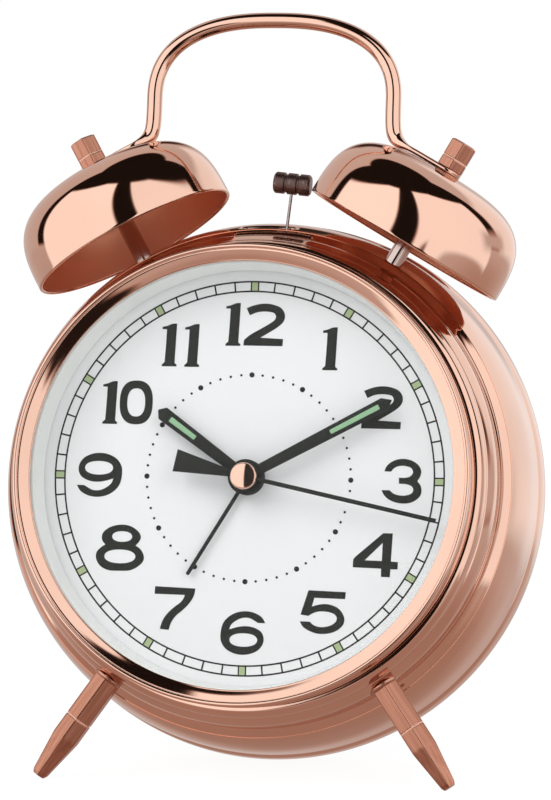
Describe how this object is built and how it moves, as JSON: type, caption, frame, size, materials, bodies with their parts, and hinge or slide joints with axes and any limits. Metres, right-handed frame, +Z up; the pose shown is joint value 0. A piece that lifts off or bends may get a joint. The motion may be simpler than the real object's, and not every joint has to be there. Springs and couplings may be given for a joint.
{
  "type": "twin-bell alarm clock",
  "caption": "Standing twin-bell alarm clock: round drum case on screwed legs, dial with hands behind a crystal, bells with a hammer between them, carrying handle and battery movement.",
  "frame": {"origin": "on the floor under the middle of the clock's bounding box, where its feet and rear rim stand", "axes": "+Z up, +X to the right of the dial as it is read, the dial looks along -Y and leans back by 10.7 degrees"},
  "size_m": [0.1188, 0.0738, 0.1647],
  "materials": {
    "rose_plate": "polished rose-copper plate",
    "steel": "bright steel",
    "brass": "cut brass",
    "hand_black": "satin black",
    "dial_white": "matt white",
    "white_moulding": "matt white moulding",
    "grey_moulding": "matt grey moulding",
    "black_moulding": "fine-grained black moulding",
    "knob_black": "glossy black",
    "crystal_glass": "clear",
    "gunmetal": "dark gunmetal",
    "coil_copper": "wound enamelled wire",
    "cell_jacket": "printed jacket without print"
  },
  "bodies": {
    "clock_body": {"case_shell": "rose_plate", "bezel_ring": "rose_plate", "bell_left": "rose_plate", "bell_right": "rose_plate", "bell_washer_left": "rose_plate", "bell_washer_right": "rose_plate", "cap_nut_left": "rose_plate", "cap_nut_right": "rose_plate", "carry_handle": "rose_plate", "leg_left": "rose_plate", "leg_right": "rose_plate", "leg_flange_left": "rose_plate", "leg_flange_right": "rose_plate", "bell_post_left": "steel", "bell_post_right": "steel", "post_nut_left": "steel", "post_nut_right": "steel", "leg_nut_left": "steel", "leg_nut_right": "steel", "hammer_bracket": "steel", "striker_core": "steel", "plus_contact": "steel", "minus_contact": "steel", "cover_screw_upper_left": "steel", "cover_screw_upper_right": "steel", "cover_screw_lower_left": "steel", "cover_screw_lower_right": "steel", "dial": "dial_white", "inner_ring": "white_moulding", "carrier_plate": "white_moulding", "movement_housing": "grey_moulding", "movement_lid": "grey_moulding", "rear_cover": "black_moulding", "crystal": "crystal_glass", "striker_coil": "coil_copper", "battery": "cell_jacket"},
    "second_hand_body": {"second_hand": "hand_black", "hand_cap": "rose_plate", "second_arbor": "steel"},
    "minute_hand_body": {"minute_hand": "hand_black", "minute_pipe": "brass"},
    "hour_hand_body": {"hour_hand": "hand_black", "hour_wheel": "brass"},
    "alarm_hand_body": {"alarm_hand": "hand_black", "alarm_wheel": "brass"},
    "time_knob_body": {"time_knob": "knob_black", "motion_wheel": "brass"},
    "alarm_knob_body": {"alarm_knob": "knob_black", "alarm_arbor": "brass"},
    "alarm_switch_body": {"alarm_switch": "white_moulding"},
    "battery_door_body": {"battery_door": "black_moulding"},
    "hammer": {"hammer_arm": "steel", "hammer_wire": "steel", "hammer_head": "gunmetal"}
  },
  "joints": [
    {"name": "time_knob_turn", "type": "hinge", "parent": "clock_body", "child": "time_knob_body", "pos_m": [0.0108, -0.01671, 0.06548], "axis": [0, 0.9825, -0.1861], "continuous": true},
    {"name": "minute_hand_spin", "type": "hinge", "parent": "clock_body", "child": "minute_hand_body", "pos_m": [0, -0.01671, 0.06548], "axis": [0, 0.9825, -0.1861], "continuous": true},
    {"name": "hour_hand_spin", "type": "hinge", "parent": "clock_body", "child": "hour_hand_body", "pos_m": [0, -0.01671, 0.06548], "axis": [0, 0.9825, -0.1861], "continuous": true},
    {"name": "second_hand_spin", "type": "hinge", "parent": "clock_body", "child": "second_hand_body", "pos_m": [0, -0.01671, 0.06548], "axis": [0, 0.9825, -0.1861], "continuous": true},
    {"name": "alarm_knob_turn", "type": "hinge", "parent": "clock_body", "child": "alarm_knob_body", "pos_m": [-0.012, -0.01671, 0.06548], "axis": [0, 0.9825, -0.1861], "continuous": true},
    {"name": "alarm_hand_spin", "type": "hinge", "parent": "clock_body", "child": "alarm_hand_body", "pos_m": [0, -0.01671, 0.06548], "axis": [0, 0.9825, -0.1861], "continuous": true},
    {"name": "alarm_switch_slide", "type": "slide", "parent": "clock_body", "child": "alarm_switch_body", "axis": [1, 0, 0], "range_m": [0, 0.004]},
    {"name": "battery_door_lift", "type": "slide", "parent": "clock_body", "child": "battery_door_body", "axis": [0, 0.9825, -0.1861], "range_m": [0, 0.02]},
    {"name": "hammer_swing", "type": "hinge", "parent": "clock_body", "child": "hammer", "pos_m": [0, 0.00052, 0.0785], "axis": [0, -0.9825, 0.1861], "range_deg": [0, 11]}
  ],
  "couplings": [
    {"joint": "minute_hand_spin", "follows": "time_knob_turn", "ratio": -3},
    {"joint": "hour_hand_spin", "follows": "time_knob_turn", "ratio": -0.25},
    {"joint": "alarm_hand_spin", "follows": "alarm_knob_turn", "ratio": -0.33333}
  ]
}
